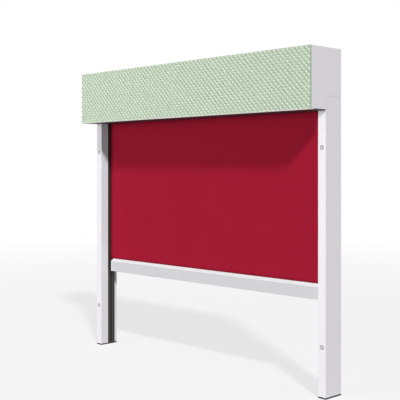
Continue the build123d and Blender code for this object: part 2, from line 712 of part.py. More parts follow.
# Screen
def z_screen_low():
    """Bottom edge of the fabric, on the rod in the bar."""
    return Z_BAR_ROD + BAR_ROD_RADIUS + FIT


def fabric_screen():
    """The hanging fabric, from the roller to the rod in the bar."""
    y = (Y_SCREEN - FABRIC_THICKNESS / 2, Y_SCREEN + FABRIC_THICKNESS / 2)
    return span((-X_SCREEN, X_SCREEN), y, (z_screen_low(), Z_ROLLER))


def zip_strip():
    """Zip welded to the right edge of the fabric."""
    y = (Y_SCREEN - ZIP_THICKNESS / 2, Y_SCREEN + ZIP_THICKNESS / 2)
    return span((X_SCREEN, X_ZIP), y, (z_screen_low(), Z_ROLLER - ZIP_TOP_DROP))


# Bottom bar
def bar_outline():
    """Outer shape of the bar: a box with a roof that slopes to the fabric."""
    half = BAR_DEPTH / 2
    eaves = BAR_HEIGHT - BAR_SLOPE_HEIGHT
    ridge = BAR_TOP_FLAT / 2
    right_side = [(half, 0), (half, eaves), (ridge, BAR_HEIGHT)]
    left_side = [(-ridge, BAR_HEIGHT), (-half, eaves), (-half, 0)]
    return Polygon(*right_side, *left_side, align=None)


def at_bar(section):
    """A section that was drawn about the foot of the bar, put in its place."""
    return Pos(Y_SCREEN, BAR_LOW) * section


def bar_slot():
    """Slot for the fabric in the ridge of the bar."""
    slot = Rectangle(BAR_SLOT, BAR_ROD_DROP + OVERCUT)
    return Pos(0, BAR_HEIGHT - BAR_ROD_DROP + (BAR_ROD_DROP + OVERCUT) / 2) * slot


def bar_channel(radius):
    """Round shape at the keder channel of the bar."""
    return Pos(0, BAR_HEIGHT - BAR_ROD_DROP) * Circle(radius)


def bar_chamber():
    """Lower chamber of the bar, which holds the weight."""
    width = BAR_DEPTH - 2 * BAR_WALL
    height = BAR_FLOOR_HEIGHT - BAR_WALL
    return Pos(0, BAR_WALL + height / 2) * Rectangle(width, height)


def bottom_bar():
    """Extruded bar with a weight chamber, a keder channel and a slot."""
    outer = fillet(bar_outline().vertices(), BAR_EDGE_RADIUS)
    inner = offset(bar_outline(), -BAR_WALL)
    above_floor = Pos(0, BAR_FLOOR_HEIGHT + BAR_WALL + BAR_HEIGHT / 2) * Rectangle(BAR_DEPTH, BAR_HEIGHT)
    slot_walls = Pos(0, BAR_HEIGHT) * Rectangle(BAR_SLOT + 2 * BAR_WALL, 2 * BAR_ROD_DROP)
    cells = (inner & above_floor) - bar_channel(BAR_CHANNEL_RADIUS + BAR_WALL) - slot_walls
    section = outer - bar_chamber() - cells - bar_channel(BAR_CHANNEL_RADIUS) - bar_slot()
    return along_x(at_bar(section), (-X_BAR_CUT, X_BAR_CUT))


def bar_rod():
    """Keder rod in the hem of the fabric."""
    x = X_BAR_CUT - WEIGHT_SETBACK
    return rod_x(BAR_ROD_RADIUS, (-x, x), Y_SCREEN, Z_BAR_ROD)


def bar_weight():
    """Steel flat bar that pulls the fabric tight."""
    x = X_BAR_CUT - WEIGHT_SETBACK
    z = (BAR_LOW + BAR_WALL + FIT, BAR_LOW + BAR_WALL + FIT + WEIGHT_HEIGHT)
    return span((-x, x), (Y_SCREEN - WEIGHT_WIDTH / 2, Y_SCREEN + WEIGHT_WIDTH / 2), z)


def slider_height():
    """Bottom and top of the slider."""
    return BAR_LOW + SLIDER_RISE, BAR_LOW + SLIDER_RISE + SLIDER_HEIGHT


def bar_end_cap():
    """Right end cap with its peg in the weight chamber, slider pocket, slot and screw seat."""
    outer = fillet(bar_outline().vertices(), BAR_EDGE_RADIUS)
    cap = along_x(at_bar(outer), (X_BAR_CUT, X_BAR))
    cap += along_x(at_bar(offset(bar_chamber(), -LOOSE)), (X_BAR_CUT - BAR_CAP_PEG, X_BAR_CUT))
    pocket = (Y_SCREEN - SLIDER_BASE_WIDTH / 2 - FIT, Y_SCREEN + SLIDER_BASE_WIDTH / 2 + FIT)
    x_through = grown((X_BAR_CUT, X_BAR), OVERCUT)
    x_pocket = (X_BAR - SLIDER_BASE_DEPTH, X_BAR + OVERCUT)
    x_head = (X_BAR - BAR_SCREW_HEAD_DEPTH, X_BAR + OVERCUT)
    cap -= span(x_pocket, pocket, grown(slider_height(), FIT))
    cap -= along_x(at_bar(bar_slot()), x_through)
    cap -= rod_x(BAR_SCREW_RADIUS + FIT, x_through, Y_SCREEN, Z_BAR_ROD)
    return cap - rod_x(BAR_SCREW_HEAD + FIT, x_head, Y_SCREEN, Z_BAR_ROD)


def bar_cap_screws():
    """Screw through each end cap into the bar's channel, slotted where the fabric hangs into the bar."""
    x_seat = X_BAR - BAR_SCREW_HEAD_DEPTH
    screw = rod_x(BAR_SCREW_RADIUS, (x_seat - BAR_SCREW_LENGTH, x_seat), Y_SCREEN, Z_BAR_ROD)
    screw += rod_x(BAR_SCREW_HEAD, (x_seat, X_BAR - LOOSE), Y_SCREEN, Z_BAR_ROD)
    x_slot = (X_BAR_CUT - BAR_SCREW_LENGTH, X_BAR + OVERCUT)
    y_slot = (Y_SCREEN - BAR_SLOT / 2, Y_SCREEN + BAR_SLOT / 2)
    screw -= span(x_slot, y_slot, (z_screen_low() - LOOSE, BAR_TOP))
    return mirrored_group(screw)


def bar_slider():
    """Right slider: base in the end cap, tongue through the slot and head in the zip chamber."""
    z = slider_height()
    half_base = SLIDER_BASE_WIDTH / 2
    slider = span((X_BAR - SLIDER_BASE_DEPTH, X_BAR), (Y_SCREEN - half_base, Y_SCREEN + half_base), z)
    x_head = X_IN + ZIP_CHAMBER_START + (ZIP_CHAMBER_DEPTH - SLIDER_HEAD_DEPTH) / 2
    half_tongue = SLIDER_TONGUE / 2
    slider += span((X_BAR, x_head), (Y_SCREEN - half_tongue, Y_SCREEN + half_tongue), z)
    y_head = (Y_SCREEN - SLIDER_HEAD_WIDTH / 2, Y_SCREEN + SLIDER_HEAD_WIDTH / 2)
    return slider + span((x_head, x_head + SLIDER_HEAD_DEPTH), y_head, z)


os.makedirs("parts", exist_ok=True)

# Cassette
save("cassette_top", cassette_top())
save("cassette_back", cassette_back())
save("cassette_front", cassette_front())
save("render_board", render_board())
save_pair("end_plate", end_plate())
save("cable_grommet", cable_grommet())
save("service_cover", service_cover())
save_pair("cover_bearing", cover_bearing())
save("cover_pins", mirrored_group(cover_pin()))

# Roller, motor and brackets
save("roller_tube", roller_tube())
save("crown_ring", crown_ring())
save("drive_wheel", drive_wheel())
save("output_shaft", output_shaft())
save("idler_plug", idler_plug())
save("idler_bearing", idler_bearing())
save("roller_keder_rod", roller_rod())
save("fabric_roll", fabric_roll())
save("motor_tube", motor_tube())
save("motor_head", motor_head())
save("idler_pin", idler_pin())
save("motor_bracket", motor_bracket())
save("idler_bracket", idler_bracket())
save("bracket_screws", bracket_screws())

# Guide rails
save_pair("rail", rail())
save_pair("zip_guide", zip_guide())
save_pair("rail_foot", rail_foot())
save_pair("rail_inlet", rail_inlet())
save("inlet_screws", inlet_screws())
save("rail_cover_caps", rail_cover_caps())

# Screen and bottom bar
save("fabric_screen", fabric_screen())
save_pair("zip_strip", zip_strip())
save("bottom_bar", bottom_bar())
save("bar_keder_rod", bar_rod())
save("bar_weight", bar_weight())
save_pair("bar_end_cap", bar_end_cap())
save_pair("bar_slider", bar_slider())
save("bar_cap_screws", bar_cap_screws())
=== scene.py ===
# %% [markdown]
# # A drop awning with a zip screen
# The awning keeps the sun out with a screen of red cloth. A long cassette holds its roller and motor, two
# rails stand under the ends, and the screen runs down between them with a heavy bar along its foot.
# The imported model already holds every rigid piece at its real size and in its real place. It could be
# rebuilt here, but two versions of one rail would sooner or later differ. So the model is loaded as a
# fixed frame, most of its pieces are kept and only get their finish, and this script models what a
# machine shop wouldn't cut: cloth, zip teeth, the embossed board and the turned screw covers.

# %% Load the frame
import json
import math

import bmesh
import bpy
from mathutils import Matrix, Vector


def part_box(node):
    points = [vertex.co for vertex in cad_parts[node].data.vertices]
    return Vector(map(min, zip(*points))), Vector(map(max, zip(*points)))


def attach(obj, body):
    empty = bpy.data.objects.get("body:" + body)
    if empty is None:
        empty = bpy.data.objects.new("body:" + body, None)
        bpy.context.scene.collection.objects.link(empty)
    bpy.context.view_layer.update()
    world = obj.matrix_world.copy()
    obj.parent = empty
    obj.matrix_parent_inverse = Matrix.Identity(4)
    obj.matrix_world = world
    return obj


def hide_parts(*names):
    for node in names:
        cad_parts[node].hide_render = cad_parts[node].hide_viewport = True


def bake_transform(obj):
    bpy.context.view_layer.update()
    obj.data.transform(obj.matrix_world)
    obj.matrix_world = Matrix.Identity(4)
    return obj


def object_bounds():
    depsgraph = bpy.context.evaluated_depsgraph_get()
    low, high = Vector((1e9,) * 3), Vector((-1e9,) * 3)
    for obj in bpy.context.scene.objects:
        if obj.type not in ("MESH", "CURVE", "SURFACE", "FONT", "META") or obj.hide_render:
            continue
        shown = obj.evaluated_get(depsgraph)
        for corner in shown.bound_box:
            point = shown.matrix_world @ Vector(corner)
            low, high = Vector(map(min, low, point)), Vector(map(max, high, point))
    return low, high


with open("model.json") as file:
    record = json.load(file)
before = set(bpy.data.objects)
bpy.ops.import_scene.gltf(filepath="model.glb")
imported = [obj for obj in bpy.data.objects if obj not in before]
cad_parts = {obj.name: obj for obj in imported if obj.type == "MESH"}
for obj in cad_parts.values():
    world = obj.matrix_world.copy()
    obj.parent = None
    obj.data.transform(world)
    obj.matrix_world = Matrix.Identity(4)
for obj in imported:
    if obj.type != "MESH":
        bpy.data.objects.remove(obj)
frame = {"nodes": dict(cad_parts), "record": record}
cad_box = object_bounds()

# %% [markdown]
# ## The camera
# The picture that this scene follows was taken from the front right, a little below the cassette.
# A camera can be placed by eye, but here the edges of the cassette and rails gave its place: they run
# to two vanishing points, which fix the direction, the focal length and the row of the horizon.
# The camera stays level and is shifted instead of tilted, so upright edges stay parallel.

# %% Place the camera
IMAGE_WIDTH = 400
HORIZON_ROW = 168.0
FOCAL_PIXELS = 849.5
SENSOR_WIDTH = 36.0
CAMERA_TURN = math.radians(46.0)
CAMERA_PLACE = (1.7113, -1.6968, -0.21485)

camera = bpy.data.objects.new("camera", bpy.data.cameras.new("camera"))
bpy.context.scene.collection.objects.link(camera)
bpy.context.scene.camera = camera
camera.location = CAMERA_PLACE
camera.rotation_euler = (math.pi / 2, 0.0, CAMERA_TURN)
camera.data.sensor_width = SENSOR_WIDTH
camera.data.lens = FOCAL_PIXELS / IMAGE_WIDTH * SENSOR_WIDTH
camera.data.shift_y = (HORIZON_ROW - IMAGE_WIDTH / 2) / IMAGE_WIDTH
print(f"camera: {camera.data.lens:.1f} mm lens, shifted by {camera.data.shift_y:.3f}")

# %% [markdown]
# ## Sums on shader sockets
# A finish is a small calculation: a grain times its strength, plus a base value. In the node editor each
# step is a box with wires. Written out, that gets long, so one class wraps an output socket and gives it
# the signs of arithmetic. Each sign adds its Math node, and `1 - grain` works from either side.

# %% A socket that can be used in sums
class Signal:
    """The output of a node, usable in sums with numbers and other signals."""

    def __init__(self, finish, socket):
        self.finish = finish
        self.socket = socket

    def sum(self, operation, first, second=0.0):
        return self.finish.node("ShaderNodeMath", {"operation": operation}, {0: first, 1: second})

    def __add__(self, other):
        return self.sum("ADD", self, other)

    def __radd__(self, other):
        return self.sum("ADD", other, self)

    def __sub__(self, other):
        return self.sum("SUBTRACT", self, other)

    def __rsub__(self, other):
        return self.sum("SUBTRACT", other, self)

    def __mul__(self, other):
        return self.sum("MULTIPLY", self, other)

    def __rmul__(self, other):
        return self.sum("MULTIPLY", other, self)

    def __truediv__(self, other):
        return self.sum("DIVIDE", self, other)

    def fraction(self):
        return self.sum("FRACT", self)

    def floor(self):
        return self.sum("FLOOR", self)

    def sine(self):
        return self.sum("SINE", self)


print("sockets can be added, subtracted, multiplied and divided")

# %% [markdown]
# ## A finish under construction
# Every material here starts from the Principled shader, because metal, paint, plastic and cloth only
# differ in its values. The class below makes any node from its type, its settings and its inputs.
# The calls that almost every finish needs, a noise, a mix of two colours and a bump, have short names.

# %% The finish class
COLOUR_SOCKETS = {"factor": 0, "first": 6, "second": 7}
COLOUR_RESULT = 2


class Finish:
    """A material and the calls that build it."""

    def __init__(self, name):
        self.material = bpy.data.materials.new(name)
        self.material.use_nodes = True
        self.tree = self.material.node_tree
        self.shader = self.tree.nodes["Principled BSDF"]

    def feed(self, socket, value):
        if isinstance(value, Signal):
            self.tree.links.new(value.socket, socket)
        else:
            socket.default_value = value

    def node(self, kind, settings=None, inputs=None, output=0):
        made = self.tree.nodes.new(kind)
        for name, value in (settings or {}).items():
            setattr(made, name, value)
        for name, value in (inputs or {}).items():
            self.feed(made.inputs[name], value)
        return Signal(self, made.outputs[output])

    def set(self, **values):
        for name, value in values.items():
            self.feed(self.shader.inputs[name.replace("_", " ")], value)

    def place(self, stretch=(1.0, 1.0, 1.0), source="Object"):
        """Where a point lies on the piece in metres, with the axes stretched."""
        point = self.node("ShaderNodeTexCoord", output=source)
        return self.node("ShaderNodeMapping", {}, {"Vector": point, "Scale": stretch})

    def noise(self, place, size, detail=2.0, rough=0.5):
        """Soft random grain whose grains are about as large as size, in metres."""
        inputs = {"Vector": place, "Scale": 1 / size, "Detail": detail, "Roughness": rough}
        return self.node("ShaderNodeTexNoise", {}, inputs)

    def mix(self, factor, first, second):
        """A colour between two colours."""
        sockets = {0: factor, COLOUR_SOCKETS["first"]: first, COLOUR_SOCKETS["second"]: second}
        return self.node("ShaderNodeMix", {"data_type": "RGBA"}, sockets, COLOUR_RESULT)

    def bump(self, height, depth, strength=1.0):
        """Relief of a depth in metres, from a height between 0 and 1."""
        inputs = {"Height": height, "Distance": depth, "Strength": strength}
        return self.node("ShaderNodeBump", {}, inputs)


def shade(colour, share):
    """A colour made lighter or darker by a share, with full alpha."""
    return (*[min(1.0, part * share) for part in colour[:3]], 1.0)


print("shader helpers ready")

# %% [markdown]
# ## A painted highlight on upward faces
# The roof of the bar is much paler than its front, so a pale colour is painted on slopes that look up,
# as a painted highlight. It could be painted by hand, but the normal says where it lies: where a face
# looks up, the height of its normal is near 1. A map range turns that into a soft mask, and a noise
# breaks it up. The function lays it over any colour.

# %% A painted highlight on faces that look up
# colour, mask range and patches of the painted highlight on upward faces
HIGHLIGHT_COLOUR = (0.93, 0.92, 0.94, 1.0)
HIGHLIGHT_FROM = 0.35
HIGHLIGHT_FULL = 0.80
HIGHLIGHT_COVER = 0.85
HIGHLIGHT_PATCHINESS = 0.3
PATCH_SIZE = 0.02


def paint_top_highlight(finish, colour):
    """Mixes a pale painted highlight over a colour where a surface looks up."""
    normal = finish.node("ShaderNodeTexCoord", output="Normal")
    upward = finish.node("ShaderNodeSeparateXYZ", {}, {0: normal}, output="Z")
    inputs = {"Value": upward, "From Min": HIGHLIGHT_FROM, "From Max": HIGHLIGHT_FULL}
    mask = finish.node("ShaderNodeMapRange", {"interpolation_type": "SMOOTHSTEP"}, inputs)
    patches = finish.noise(finish.place(), PATCH_SIZE, 4.0)
    cover = HIGHLIGHT_COVER + HIGHLIGHT_PATCHINESS * (patches - 0.5)
    return finish.mix(mask * cover, colour, HIGHLIGHT_COLOUR)


# prints where the painted highlight starts and where it is full
print("dust from an upward share of", HIGHLIGHT_FROM, "to", HIGHLIGHT_FULL)

# %% [markdown]
# ## Powder coat
# The rails, end plates and bar are aluminium profiles with a baked powder coat. Its surface is smooth but
# never flat: the powder melts into fine waves, known as orange peel, about 1.5 mm long and a few
# hundredths of a millimetre deep, and the film is a little thicker here and thinner there.
# A plain colour would look like paper, so a fine noise makes the relief and a slow one the cloudy tone.

# %% Powder coat
PEEL_SIZE = 0.0015
PEEL_DEPTH = 0.00003
CLOUD_SIZE = 0.12
BAR_COLOUR = (0.635, 0.63, 0.655)


def powder_coat(name, colour, roughness=0.42, layer=None):
    """Satin powder coat in one colour, with a layer such as a painted highlight over it."""
    finish = Finish(name)
    place = finish.place()
    cloud = finish.noise(place, CLOUD_SIZE, 3.0)
    peel = finish.noise(place, PEEL_SIZE, 1.0)
    base = finish.mix(cloud, shade(colour, 0.975), shade(colour, 1.025))
    finish.set(
        Base_Color=layer(finish, base) if layer else base,
        Roughness=roughness + 0.08 * (peel - 0.5) + 0.04 * (cloud - 0.5),
        Normal=finish.bump(peel, PEEL_DEPTH, 0.6),
    )
    return finish


rail_coat = powder_coat("rail_coat", (0.875, 0.853, 0.893))
cream_coat = powder_coat("cream_coat", (0.64, 0.62, 0.565))
# nearly black; it goes on the cassette's underside as painted shade
dark_coat = powder_coat("dark_coat", (0.022, 0.022, 0.024), roughness=0.5)
motor_paint = powder_coat("motor_paint", (0.10, 0.11, 0.13), roughness=0.35)
# the bar's coat gets a painted highlight on its roof
bar_coat = powder_coat("bar_coat", BAR_COLOUR, roughness=0.36, layer=paint_top_highlight)
powder_coats = (rail_coat, cream_coat, dark_coat, motor_paint, bar_coat)
print("powder coats:", *[coat.material.name for coat in powder_coats])

# %% [markdown]
# ## Bare aluminium from the press
# The top and back of the cassette are left as they come from the extrusion die. The die scratches long,
# hair-fine lines along the profile, which make the metal look brushed in one direction.
# The noise is squeezed hard across the profile and left long along it, and it drives colour,
# roughness and relief together, because a scratch changes all three.

# %% Mill aluminium
DIE_LINE_WIDTH = 0.0012
DIE_LINE_DEPTH = 0.00004
STAIN_SIZE = 0.09
ALONG_PROFILE = 0.004


def mill_aluminium(name, colour, stretch):
    """Aluminium with die lines along the axis that is stretched."""
    finish = Finish(name)
    lines = finish.noise(finish.place(stretch), DIE_LINE_WIDTH, 3.0, 0.6)
    stains = finish.noise(finish.place(), STAIN_SIZE, 4.0)
    finish.set(
        Base_Color=finish.mix(0.7 * lines + 0.3 * stains, shade(colour, 0.86), shade(colour, 1.1)),
        Roughness=0.26 + 0.22 * lines + 0.08 * stains,
        Normal=finish.bump(lines, DIE_LINE_DEPTH, 0.5),
        Metallic=1.0,
    )
    return finish


mill_finish = mill_aluminium("mill_aluminium", (0.74, 0.745, 0.75), (ALONG_PROFILE, 1.0, 1.0))
print("mill finish:", len(mill_finish.tree.nodes), "nodes")

# %% [markdown]
# ## Steel: zinc on screws and brackets
# Brackets and the roller tube are cut from galvanised sheet, whose zinc froze in flat crystals of many
# greys. Cells of a Voronoi texture have the same straight borders, so each cell gets its own tone.
# Screws and pins are plated more finely, and a small noise is enough for them.

# %% Galvanised and plated steel
SPANGLE_SIZE = 0.007
HAZE_SIZE = 0.02
HAZE_DEPTH = 0.00006
PLATE_GRAIN_SIZE = 0.0006
PLATE_GRAIN_DEPTH = 0.00002
PLATE_CLOUD_SIZE = 0.008


def galvanised_steel(name, colour):
    """Sheet steel with zinc crystals."""
    finish = Finish(name)
    place = finish.place()
    inputs = {"Vector": place, "Scale": 1 / SPANGLE_SIZE}
    crystal = finish.node("ShaderNodeTexVoronoi", {}, inputs, output="Color")
    tone = finish.node("ShaderNodeSeparateColor", {}, {0: crystal})
    haze = finish.noise(place, HAZE_SIZE, 3.0)
    finish.set(
        Base_Color=finish.mix(0.7 * tone + 0.3 * haze, shade(colour, 0.8), shade(colour, 1.15)),
        Roughness=0.32 + 0.16 * tone,
        Normal=finish.bump(haze, HAZE_DEPTH, 0.4),
        Metallic=1.0,
    )
    return finish


def plated_steel(name, colour):
    """Small turned pieces with a thin zinc plate."""
    finish = Finish(name)
    grain = finish.noise(finish.place(), PLATE_GRAIN_SIZE, 2.0)
    cloud = finish.noise(finish.place(), PLATE_CLOUD_SIZE, 2.0)
    finish.set(
        Base_Color=finish.mix(cloud, shade(colour, 0.85), shade(colour, 1.1)),
        Roughness=0.28 + 0.14 * grain,
        Normal=finish.bump(grain, PLATE_GRAIN_DEPTH, 0.5),
        Metallic=1.0,
    )
    return finish


zinc_sheet = galvanised_steel("zinc_sheet", (0.58, 0.59, 0.60))
zinc_plate = plated_steel("zinc_plate", (0.62, 0.62, 0.60))
print("steel finishes:", zinc_sheet.material.name, zinc_plate.material.name)

# %% [markdown]
# ## Plastic and rubber
# Guides, feet and plugs are moulded or extruded plastic. The tool is eroded with sparks, which leaves an
# even, fine grain that hides scratches. The grain is a third of a millimetre, so it only shows close up,
# and from afar it makes the highlight broad and soft, which is what tells plastic from paint.
# The end caps of the bar get the same painted highlight as the bar. The screw covers get painted shade in
# their ring-shaped groove instead, and how far back a point lies tells where that is.

# %% Moulded plastic
GRAIN_SIZE = 0.00035
GRAIN_DEPTH = 0.00002
RUBBER_GRAIN_DEPTH = 0.00005
FLOW_SIZE = 0.03
# colour and depth range of the painted shade in the covers' groove
GROOVE_SHADE_COLOUR = (0.38, 0.37, 0.40, 1.0)
GROOVE_SHADE_FROM = 0.0006
GROOVE_SHADE_FULL = 0.0003


def paint_groove_shade(finish, colour):
    """Mixes painted shade over a colour where a surface lies close before the front of the rail."""
    depth = finish.node("ShaderNodeSeparateXYZ", {}, {0: finish.place()}, output="Y")
    rail_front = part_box("rail_right")[0].y
    inputs = {"Value": depth, "From Min": rail_front - GROOVE_SHADE_FROM, "From Max": rail_front - GROOVE_SHADE_FULL}
    mask = finish.node("ShaderNodeMapRange", {"interpolation_type": "SMOOTHSTEP"}, inputs)
    return finish.mix(mask, colour, GROOVE_SHADE_COLOUR)


def moulded_plastic(name, colour, roughness, grain_depth=GRAIN_DEPTH, layer=None):
    """Plastic with a fine grain from its tool, with a layer such as a painted highlight over it."""
    finish = Finish(name)
    place = finish.place()
    grain = finish.noise(place, GRAIN_SIZE, 2.0, 0.6)
    flow = finish.noise(place, FLOW_SIZE, 3.0)
    base = finish.mix(0.5 * grain + 0.5 * flow, shade(colour, 0.88), shade(colour, 1.12))
    finish.set(
        Base_Color=layer(finish, base) if layer else base,
        Roughness=roughness + 0.12 * (grain - 0.5),
        Normal=finish.bump(grain, grain_depth, 0.7),
    )
    return finish


black_plastic = moulded_plastic("black_plastic", (0.024, 0.024, 0.023), 0.5)
# the bar's end caps get the same painted highlight as the bar
cap_plastic = moulded_plastic("cap_plastic", BAR_COLOUR, 0.45, layer=paint_top_highlight)
# the screw covers get painted shade in their groove
cover_plastic = moulded_plastic("cover_plastic", (0.80, 0.79, 0.82), 0.4, layer=paint_groove_shade)
pale_plastic = moulded_plastic("pale_plastic", (0.72, 0.71, 0.66), 0.5)
rubber = moulded_plastic("rubber", (0.025, 0.025, 0.025), 0.75, RUBBER_GRAIN_DEPTH)
plastics = (black_plastic, cap_plastic, cover_plastic, pale_plastic, rubber)
print("plastics:", *[plastic.material.name for plastic in plastics])

# %% [markdown]
# ## Woven screen cloth
# The screen is coated red yarn, woven one over, one under, and each yarn is about a millimetre wide.
# A picture of cloth could be used, but the weave is simple enough to calculate: two rows of half-round
# yarns at right angles, where a chequerboard says which of the two lies on top. Each yarn dips a little
# where the other crosses it.
# The pattern reads the cloth's own UV map, so it travels with the cloth when the screen moves.
# Just above the bar a darker band is painted on the cloth, as shade where the cloth meets the bar.

# %% Woven cloth
YARN_PITCH = 0.0011
TAPE_YARN_PITCH = 0.0007
YARN_DEPTH = 0.00018
SUNK_YARN = 0.45
CROSSING_DIP = 0.35
THICK_YARN_SIZE = 0.004
CLOTH_CLOUD_SIZE = 0.15
# height and share of the painted shade just above the bar
BAR_SHADE_HEIGHT = 0.009
SHADE_ABOVE_BAR = 0.6


def woven_cloth(name, colour, pitch=YARN_PITCH, bar_shade_band=None):
    """Plain weave of coated yarn, on a UV map in metres, darker in its gaps as painted shade. The last
    argument gives two heights: painted shade is darkest at the first and gone at the second.
    """
    finish = Finish(name)
    place = finish.place(source="UV")
    across = finish.node("ShaderNodeSeparateXYZ", {}, {0: place}, output="X") / pitch
    length = finish.node("ShaderNodeSeparateXYZ", {}, {0: place}, output="Y")
    along = length / pitch
    warp = (across.fraction() * math.pi).sine()
    weft = (along.fraction() * math.pi).sine()
    crossing = across.floor() + along.floor()
    warp_on_top = crossing.sum("PINGPONG", crossing, 1.0)
    warp_height = warp * (SUNK_YARN + (1 - SUNK_YARN) * warp_on_top) * (1 - CROSSING_DIP * weft)
    weft_height = weft * (1 - (1 - SUNK_YARN) * warp_on_top) * (1 - CROSSING_DIP * warp)
    height = warp_height.sum("MAXIMUM", warp_height, weft_height)
    thick_yarn = finish.noise(finish.place((1.0, 0.02, 1.0), "UV"), THICK_YARN_SIZE, 2.0)
    cloud = finish.noise(place, CLOTH_CLOUD_SIZE, 3.0)
    # the colour follows the yarn's height: gaps and yarn sides darker as painted shade, tops paler; thick
    # yarns and clouds are the cloth's own tone
    tone = 0.55 * height + 0.25 * thick_yarn + 0.2 * cloud
    base = finish.mix(tone, shade(colour, 0.80), shade(colour, 1.16))
    # painted shade just above the bar, darkest where the cloth meets it
    if bar_shade_band:
        inputs = {"Value": length, "From Min": bar_shade_band[0], "From Max": bar_shade_band[1]}
        bar_shade_mask = finish.node("ShaderNodeMapRange", {"interpolation_type": "SMOOTHSTEP"}, inputs)
        base = finish.mix(bar_shade_mask, shade(colour, SHADE_ABOVE_BAR), base)
    finish.set(
        Base_Color=base,
        Roughness=0.72 + 0.12 * (1 - height),
        Normal=finish.bump(height, YARN_DEPTH, 0.8),
        Specular_IOR_Level=0.05,
    )
    return finish


bar_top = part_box("bottom_bar")[1].z
# the red cloth gets painted shade just above the bar
red_cloth = woven_cloth("red_cloth", (0.352, 0.0095, 0.031), bar_shade_band=(bar_top, bar_top + BAR_SHADE_HEIGHT))
tape_cloth = woven_cloth("tape_cloth", (0.05, 0.05, 0.05), pitch=TAPE_YARN_PITCH)
print("cloths:", red_cloth.material.name, "and", tape_cloth.material.name)

# %% [markdown]
# ## Foam board
# The front of the cassette is a pale green foam board that takes a coating after the awning is fitted.
# Pressed foam shows its beads: small cells, a shade lighter or darker than the rest, with dents between.

# %% Foam board finish
BEAD_SIZE = 0.0022
BEAD_DEPTH = 0.0001
FOAM_CLOUD_SIZE = 0.05


def foam(name, colour):
    """Pressed foam with fine beads."""
    finish = Finish(name)
    place = finish.place()
    inputs = {"Vector": place, "Scale": 1 / BEAD_SIZE}
    beads = finish.node("ShaderNodeTexVoronoi", {}, inputs, output="Distance")
    cloud = finish.noise(place, FOAM_CLOUD_SIZE, 3.0)
    finish.set(
        Base_Color=finish.mix(0.5 * beads + 0.5 * cloud, shade(colour, 1.06), shade(colour, 0.93)),
        Roughness=0.78 + 0.1 * beads,
        Normal=finish.bump(1 - beads, BEAD_DEPTH, 0.5),
    )
    return finish


green_foam = foam("green_foam", (0.52, 0.612, 0.484))
print("foam:", green_foam.material.name)

# %% [markdown]
# ## A finish for every piece of the frame
# The record says for each node which material slot it has. That list could be typed again here, but it
# would go stale, so the script reads it and only says which finish belongs to which slot.

# %% Give the frame its finishes
FINISH_OF_SLOT = {
    "grey_coat": rail_coat,
    "bar_coat": bar_coat,
    "dark_coat": dark_coat,
    "mill_aluminium": mill_finish,
    "cream_aluminium": cream_coat,
    "render_board": green_foam,
    "black_plastic": black_plastic,
    "cap_plastic": cap_plastic,
    "pale_plastic": pale_plastic,
    "rubber": rubber,
    "steel": zinc_plate,
    "galvanised_steel": zinc_sheet,
    "motor_paint": motor_paint,
    "red_fabric": red_cloth,
    "zip_tape": tape_cloth,
}

for subpart in frame["record"]["subparts"]:
    node = frame["nodes"][subpart["node"]]
    finish = FINISH_OF_SLOT[subpart["material_slot"]]
    for place_for_material in node.material_slots:
        place_for_material.material = finish.material

# %% [markdown]
# ## From a bmesh to a piece
# Each new piece ends in the same few steps: its mesh becomes an object at the origin, gets its finish
# and takes the place of a node of the frame. One function does that for all.
# Round pieces are shaded smooth, but edges sharper than a given angle stay crisp.
# Some mesh operators number what they make by chance. So the points, edges and faces are first put in
# order of place, and each run gives the same mesh down to its numbering.

# %% Put a piece in the scene
SHARP_EDGE = math.radians(35.0)


def put_in_order(sequence, key):
    """Sorts the points, edges or faces of a bmesh, and numbers them anew."""
    number = {part: place for place, part in enumerate(sorted(sequence, key=key))}
    sequence.sort(key=lambda part: number[part])
    sequence.index_update()


def sort_by_place(shape):
    """Puts all of a bmesh in an order that is the same in each run."""
    put_in_order(shape.verts, lambda vertex: vertex.co[:])
    put_in_order(shape.edges, lambda edge: sorted(vertex.index for vertex in edge.verts))
    put_in_order(shape.faces, lambda face: sorted(vertex.index for vertex in face.verts))


def add_piece(name, shape, finish, replaced):
    """Turns a bmesh into a finished piece that stands for some nodes of the frame."""
    sort_by_place(shape)
    bmesh.ops.recalc_face_normals(shape, faces=shape.faces[:])
    mesh = bpy.data.meshes.new(name)
    shape.to_mesh(mesh)
    shape.free()
    mesh.shade_smooth()
    mesh.set_sharp_from_angle(angle=SHARP_EDGE)
    mesh.materials.append(finish.material)
    piece = bpy.data.objects.new(name, mesh)
    bpy.context.scene.collection.objects.link(piece)
    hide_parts(*replaced)
    print(f"{name}: {len(mesh.polygons)} faces in place of {', '.join(replaced)}")
    return piece


def everything(shape):
    """All the geometry of a bmesh, as its operators want it."""
    return shape.verts[:] + shape.edges[:] + shape.faces[:]


def give_cloth_map(shape, along=2):
    """Writes a UV map in metres, with X across and one other axis along the cloth."""
    layer = shape.loops.layers.uv.new("cloth")
    for face in shape.faces:
        for corner in face.loops:
            corner[layer].uv = (corner.vert.co.x, corner.vert.co[along])


print(f"edges sharper than {math.degrees(SHARP_EDGE):.0f} degrees stay crisp")

# %% [markdown]
# ## The embossed board
# The foam board is pressed with a net of ridges at 45 degrees, so that the coating has a hold on it.
# A bump texture could fake it, but the side light crosses the ridges and the board's edge shows them
# in outline, so they are modelled. A square grid is turned by 45 degrees and stood up at the front.
# Each square gets two insets: the first leaves half a ridge all round, the second sinks the middle,
# which leaves sloping walls. Four cuts trim the net to the board, and its rim is pulled to the back.

# %% Emboss the board
EMBOSS_PITCH = 0.01032
EMBOSS_SHIFT = (-0.0028, 0.0018)
RIDGE_WIDTH = 0.0013
PIT_WALL = 0.0034
PIT_DEPTH = 0.0020
SPARE_SQUARES = 2


